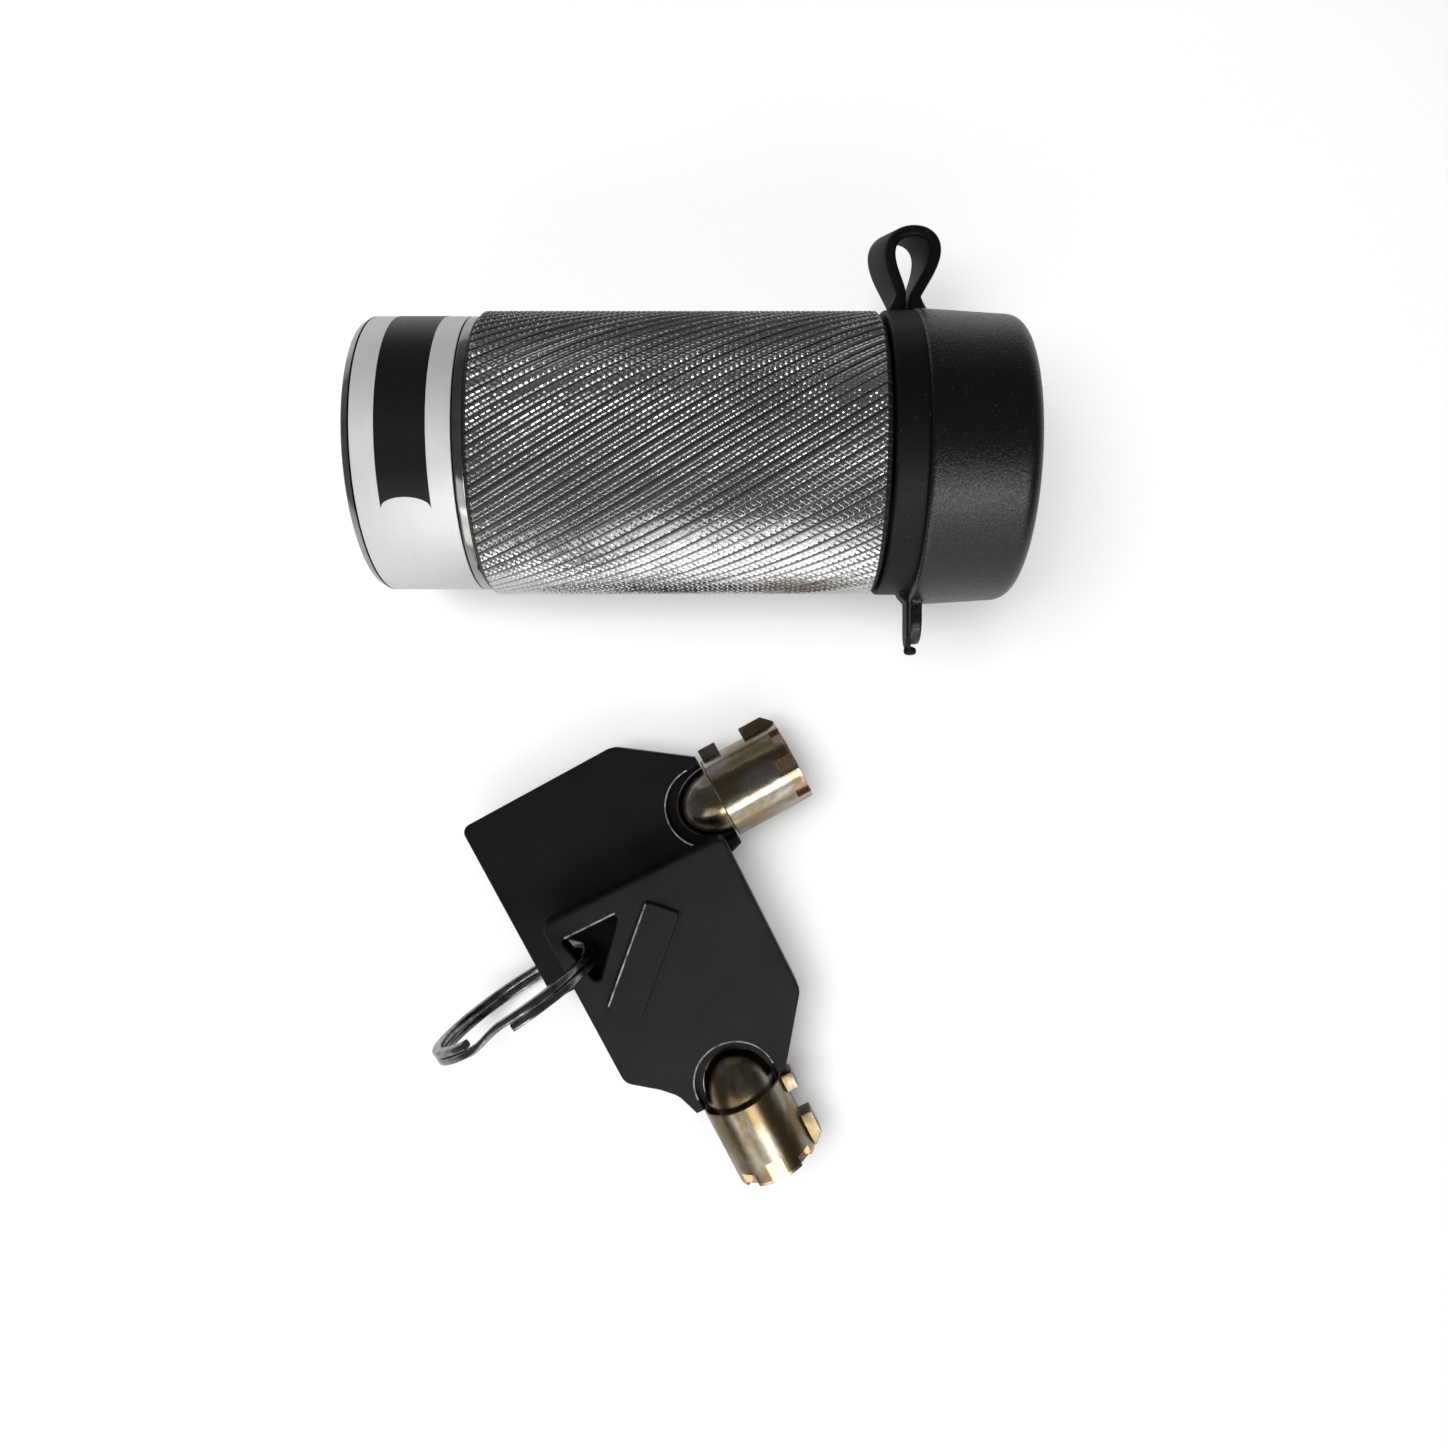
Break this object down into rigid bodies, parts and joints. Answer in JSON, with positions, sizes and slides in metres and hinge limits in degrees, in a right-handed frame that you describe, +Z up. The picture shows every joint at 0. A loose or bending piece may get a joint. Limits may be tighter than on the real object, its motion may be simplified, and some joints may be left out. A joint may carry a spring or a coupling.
{
  "type": "hitch pin lock",
  "caption": "Hitch pin lock: knurled barrel that locks on the grooved end of a hitch pin, with brushed label band, rubber dust cap on a strap loop and tubular keys on a split ring.",
  "frame": {"origin": "centre of the bounding box in plan, on the surface that the lock and its keys lie on", "axes": "+X along the barrel from the pin entry to the dust cap, +Y from the keys to the strap loop, +Z up"},
  "size_m": [0.0654, 0.1038, 0.03],
  "materials": {
    "knurled_chrome": "polished",
    "brushed_label": "brushed",
    "turned_steel": "satin",
    "spring_steel": "satin",
    "zinc_casting": "satin",
    "brass": "satin",
    "black_rubber": "matte",
    "seal_rubber": "matte",
    "bow_plastic": "fine grained",
    "nickel": "polished",
    "ring_steel": "polished"
  },
  "bodies": {
    "lock_body": {"barrel_body": "knurled_chrome", "label_band": "brushed_label", "front_bush": "turned_steel", "pin_seal": "seal_rubber", "ball_guide": "turned_steel", "lock_cylinder": "zinc_casting", "spindle_circlip": "spring_steel", "spindle_washer": "turned_steel", "pin_bushing": "brass", "key_pin_1": "brass", "key_pin_2": "brass", "key_pin_3": "brass", "key_pin_4": "brass", "key_pin_5": "brass", "key_pin_6": "brass", "key_pin_7": "brass", "cylinder_lock_pin": "spring_steel", "retaining_collar": "black_rubber", "strap_loop": "black_rubber"},
    "plug": {"spindle": "brass", "cam_ring": "turned_steel", "driver_pin_1": "brass", "driver_pin_2": "brass", "driver_pin_3": "brass", "driver_pin_4": "brass", "driver_pin_5": "brass", "driver_pin_6": "brass", "driver_pin_7": "brass", "pin_spring_1": "spring_steel", "pin_spring_2": "spring_steel", "pin_spring_3": "spring_steel", "pin_spring_4": "spring_steel", "pin_spring_5": "spring_steel", "pin_spring_6": "spring_steel", "pin_spring_7": "spring_steel"},
    "ball_1": {"locking_ball_1": "turned_steel"},
    "ball_2": {"locking_ball_2": "turned_steel"},
    "ball_3": {"locking_ball_3": "turned_steel"},
    "cap": {"dust_cap": "black_rubber"},
    "ring": {"split_ring": "ring_steel"},
    "key_1": {"key_1_bow": "bow_plastic", "key_1_tube": "nickel"},
    "key_2": {"key_2_bow": "bow_plastic", "key_2_tube": "nickel"}
  },
  "joints": [
    {"name": "plug_turn", "type": "hinge", "parent": "lock_body", "child": "plug", "pos_m": [0.01787, 0.02766, 0.015], "axis": [1, 0, 0], "range_deg": [0, 90]},
    {"name": "ball_1_release", "type": "slide", "parent": "lock_body", "child": "ball_1", "axis": [0, 0, 1], "range_m": [0, 0.00135]},
    {"name": "ball_2_release", "type": "slide", "parent": "lock_body", "child": "ball_2", "axis": [0, -0.866, -0.5], "range_m": [0, 0.00135]},
    {"name": "ball_3_release", "type": "slide", "parent": "lock_body", "child": "ball_3", "axis": [0, 0.866, -0.5], "range_m": [0, 0.00135]},
    {"name": "cap_swing", "type": "hinge", "parent": "lock_body", "child": "cap", "pos_m": [0.02175, 0.04296, 0.015], "axis": [0, 0, 1], "range_deg": [0, 110], "deforming": ["strap_loop"]},
    {"name": "bunch_lift", "type": "slide", "parent": "lock_body", "child": "ring", "axis": [0, 0, 1], "range_m": [0, 0.045]},
    {"name": "key_1_swing", "type": "hinge", "parent": "ring", "child": "key_1", "pos_m": [-0.01165, -0.02548, 0.00925], "axis": [0.0641, -0.1292, 0.9895], "range_deg": [-20, 3]},
    {"name": "key_2_swing", "type": "hinge", "parent": "ring", "child": "key_2", "pos_m": [-0.01313, -0.02613, 0.00475], "axis": [0, 0, 1], "range_deg": [-3, 15]}
  ],
  "couplings": [
    {"joint": "ball_1_release", "follows": "plug_turn", "m_per_rad": 0.00085943},
    {"joint": "ball_2_release", "follows": "plug_turn", "m_per_rad": 0.00085943},
    {"joint": "ball_3_release", "follows": "plug_turn", "m_per_rad": 0.00085943}
  ]
}
